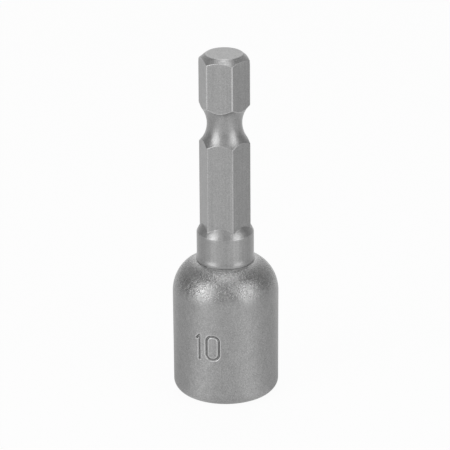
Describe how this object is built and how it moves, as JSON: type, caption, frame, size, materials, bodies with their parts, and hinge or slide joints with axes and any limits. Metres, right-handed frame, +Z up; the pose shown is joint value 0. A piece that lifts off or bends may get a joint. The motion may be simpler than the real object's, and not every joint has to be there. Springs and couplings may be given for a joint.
{
  "type": "magnetic nut setter",
  "caption": "Satin steel nut setter with a hex drive shank, detent groove and collar pressed into a domed hexagon socket with a sprung magnet.",
  "frame": {"origin": "centre of the socket's mouth, on the plane of its rim", "axes": "+Z up the tool's axis from the mouth to the drive end; a flat of each hexagon faces -Y, so its corners lie on X"},
  "size_m": [0.0148, 0.0148, 0.05],
  "materials": {
    "satin_steel": "satin, blasted and nickel plated",
    "spring_steel": "drawn wire",
    "cup_steel": "turned",
    "plated_magnet": "nickel plated",
    "sleeve_brass": "turned"
  },
  "bodies": {
    "tool": {"drive_shank": "satin_steel", "socket_body": "satin_steel", "retaining_ring": "spring_steel", "magnet_spring": "spring_steel"},
    "magnet_carriage": {"magnet_cup": "cup_steel", "magnet": "plated_magnet", "magnet_sleeve": "sleeve_brass"}
  },
  "joints": [
    {"name": "magnet_slide", "type": "slide", "parent": "tool", "child": "magnet_carriage", "axis": [0, 0, 1], "range_m": [0, 0.0025], "stiffness_N_per_m": 680, "springref_m": -0.0015, "deforming": ["magnet_spring"]}
  ]
}
